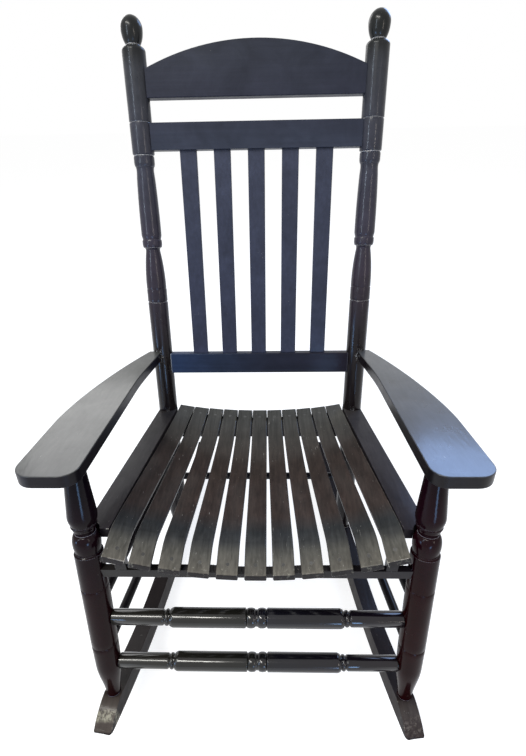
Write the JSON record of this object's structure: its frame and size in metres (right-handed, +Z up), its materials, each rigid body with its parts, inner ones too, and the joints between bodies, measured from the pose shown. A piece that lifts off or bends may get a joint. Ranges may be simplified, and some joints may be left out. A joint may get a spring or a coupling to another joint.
{
  "type": "slat back rocking chair",
  "caption": "Black painted wooden rocking chair with a slatted back under an arched crest, dished slat seat, flat arms and turned legs on curved runners.",
  "frame": {"origin": "centre of the bounding box's bottom face, on the floor under the chair", "axes": "+X to the right as seen from the front, +Y from the front to the back, +Z up"},
  "size_m": [0.664, 0.8108, 1.1524],
  "materials": {
    "frame_paint": "black gloss paint over turned hardwood, slightly worn",
    "arm_paint": "black semi-gloss paint, worn on the top",
    "seat_paint": "black semi-gloss paint, chipped at the front edges",
    "back_paint": "black semi-gloss paint",
    "rung_paint": "black gloss paint",
    "nail_steel": "painted over, bare in places"
  },
  "bodies": {
    "root": {"left_back_post": "frame_paint", "right_back_post": "frame_paint", "crest_rail": "back_paint", "upper_back_rail": "back_paint", "lower_back_rail": "back_paint", "back_slat_1": "back_paint", "back_slat_2": "back_paint", "back_slat_3": "back_paint", "back_slat_4": "back_paint", "back_slat_5": "back_paint", "left_arm": "arm_paint", "right_arm": "arm_paint", "left_front_leg": "frame_paint", "right_front_leg": "frame_paint", "front_seat_rail": "rung_paint", "rear_seat_rail": "rung_paint", "left_seat_board": "seat_paint", "right_seat_board": "seat_paint", "left_packing_block_1": "seat_paint", "left_packing_block_2": "seat_paint", "left_packing_block_3": "seat_paint", "right_packing_block_1": "seat_paint", "right_packing_block_2": "seat_paint", "right_packing_block_3": "seat_paint", "seat_slat_1": "seat_paint", "seat_slat_2": "seat_paint", "seat_slat_3": "seat_paint", "seat_slat_4": "seat_paint", "seat_slat_5": "seat_paint", "seat_slat_6": "seat_paint", "seat_slat_7": "seat_paint", "seat_slat_8": "seat_paint", "seat_slat_9": "seat_paint", "seat_slat_10": "seat_paint", "seat_slat_11": "seat_paint", "left_upper_stretcher": "rung_paint", "right_upper_stretcher": "rung_paint", "left_lower_stretcher": "rung_paint", "right_lower_stretcher": "rung_paint", "rear_rung": "rung_paint", "upper_front_rung": "rung_paint", "lower_front_rung": "rung_paint", "left_rocker": "frame_paint", "right_rocker": "frame_paint", "seat_nails": "nail_steel"}
  },
  "joints": []
}
